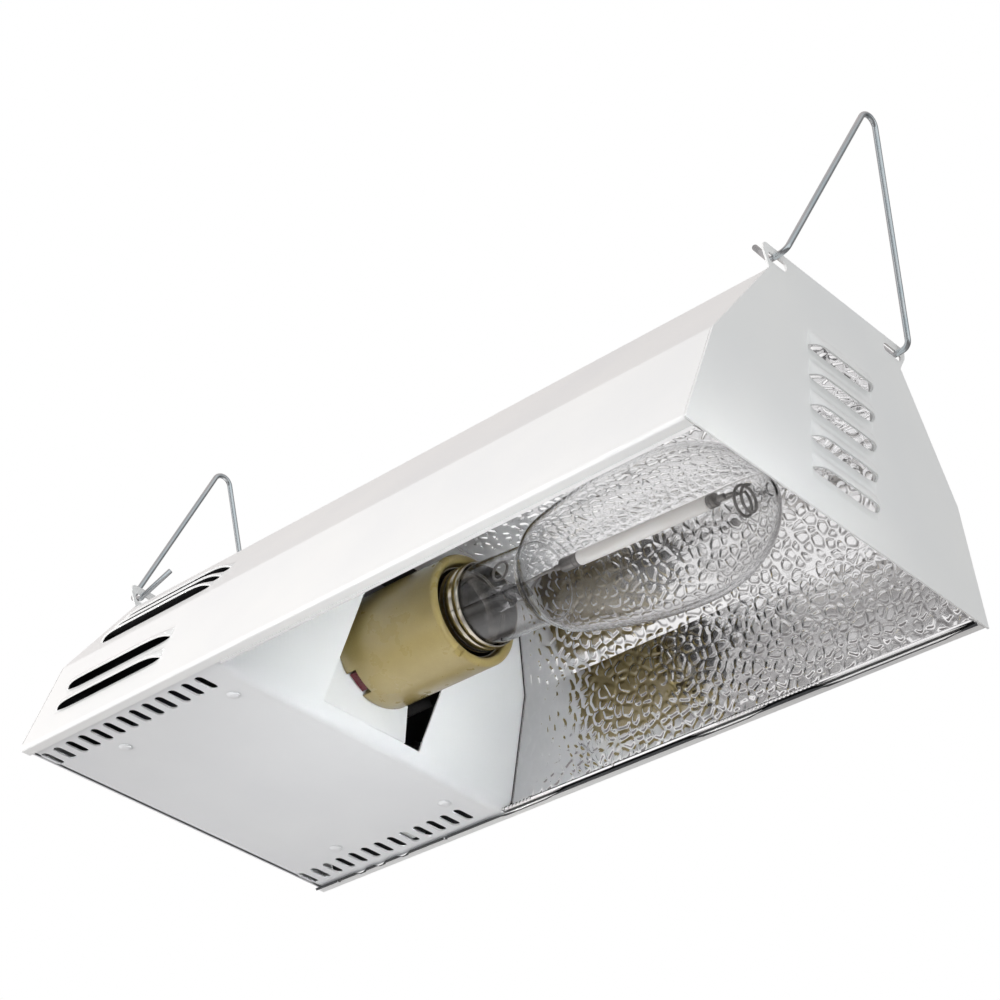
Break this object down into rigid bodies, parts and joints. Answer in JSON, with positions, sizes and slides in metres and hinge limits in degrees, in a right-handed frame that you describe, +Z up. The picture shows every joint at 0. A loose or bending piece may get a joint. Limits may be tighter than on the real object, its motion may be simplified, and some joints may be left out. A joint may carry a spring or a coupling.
{
  "type": "grow lamp",
  "caption": "Hanging grow lamp: folded steel housing with its own ballast, hammered reflector, screw-in discharge lamp and swinging wire hangers.",
  "frame": {"origin": "on the plane of the open underside, below the middle of the lamp's bounding box", "axes": "+X towards the lamp end, +Z up when the lamp hangs, +Y across the housing"},
  "size_m": [0.4838, 0.216, 0.2327],
  "materials": {
    "white_paint": "semi-gloss white powder coat",
    "cover_paint": "semi-gloss white powder coat",
    "hammered_aluminium": "bright, hammered with small round dimples",
    "zinc_wire": "bright zinc plate",
    "zinc_fastener": "bright zinc plate",
    "porcelain": "tan glaze",
    "nickel": "nickel plate",
    "brass_contact": "bare",
    "lamp_glass": "clear",
    "black_glass": "fused black glass",
    "lamp_metal": "dull grey",
    "arc_tube_ceramic": "translucent",
    "core_steel": "dark varnished laminations",
    "winding": "varnished copper wire",
    "capacitor_can": "bare",
    "potting": "potted",
    "connector_plastic": "moulded",
    "red_insulation": "sleeved",
    "red_sleeve": "moulded",
    "white_insulation": "sleeved",
    "black_insulation": "sleeved",
    "blue_insulation": "sleeved",
    "yellow_insulation": "sleeved",
    "bushing_nylon": "moulded",
    "green_screw": "green plate"
  },
  "bodies": {
    "housing": {"housing_shell": "white_paint", "lamp_end_plate": "white_paint", "ballast_end_plate": "white_paint", "ballast_cover": "cover_paint", "reflector": "hammered_aluminium", "lampholder_body": "porcelain", "lampholder_screw_shell": "nickel", "lampholder_contact": "brass_contact", "lampholder_screw_1": "zinc_fastener", "lampholder_screw_2": "zinc_fastener", "ballast_core": "core_steel", "ballast_primary_coil": "winding", "ballast_secondary_coil": "winding", "ballast_rail_1": "zinc_fastener", "ballast_rail_2": "zinc_fastener", "ballast_bolt_1": "zinc_fastener", "ballast_bolt_2": "zinc_fastener", "ballast_bolt_3": "zinc_fastener", "ballast_bolt_4": "zinc_fastener", "ballast_nut_1": "zinc_fastener", "ballast_nut_2": "zinc_fastener", "ballast_nut_3": "zinc_fastener", "ballast_nut_4": "zinc_fastener", "cover_rivet_1": "cover_paint", "cover_rivet_2": "cover_paint", "cover_rivet_3": "cover_paint", "cover_rivet_4": "cover_paint", "capacitor": "capacitor_can", "capacitor_strap": "zinc_fastener", "ignitor": "potting", "wire_connector_1": "connector_plastic", "wire_connector_2": "connector_plastic", "wire_connector_3": "connector_plastic", "lead_red": "red_insulation", "lead_red_sleeve": "red_sleeve", "lead_white": "white_insulation", "lead_black": "black_insulation", "lead_blue": "blue_insulation", "lead_yellow": "yellow_insulation", "cord_bushing": "bushing_nylon", "ground_screw": "green_screw"},
    "lamp": {"lamp_envelope": "lamp_glass", "lamp_base_shell": "nickel", "lamp_base_insulator": "black_glass", "lamp_base_contact": "brass_contact", "lamp_stem": "lamp_glass", "lamp_getter_ring": "lamp_metal", "lamp_frame_wire": "lamp_metal", "lamp_lead_wire": "lamp_metal", "lamp_link_wire": "lamp_metal", "arc_tube": "arc_tube_ceramic", "arc_tube_base_end": "lamp_metal", "arc_tube_dome_end": "lamp_metal"},
    "hanger_at_lamp_end": {"hanger_lamp_end": "zinc_wire"},
    "hanger_at_ballast_end": {"hanger_ballast_end": "zinc_wire"}
  },
  "joints": [
    {"name": "hanger_lamp_end_swing", "type": "hinge", "parent": "housing", "child": "hanger_at_lamp_end", "pos_m": [0.21558, 0, 0.126], "axis": [0, 1, 0], "range_deg": [-72, 38]},
    {"name": "hanger_ballast_end_swing", "type": "hinge", "parent": "housing", "child": "hanger_at_ballast_end", "pos_m": [-0.23242, 0, 0.126], "axis": [0, -1, 0], "range_deg": [-58, 52]},
    {"name": "lamp_unscrew", "type": "slide", "parent": "housing", "child": "lamp", "axis": [0.9982, 0, -0.0593], "range_m": [0, 0.025]}
  ]
}
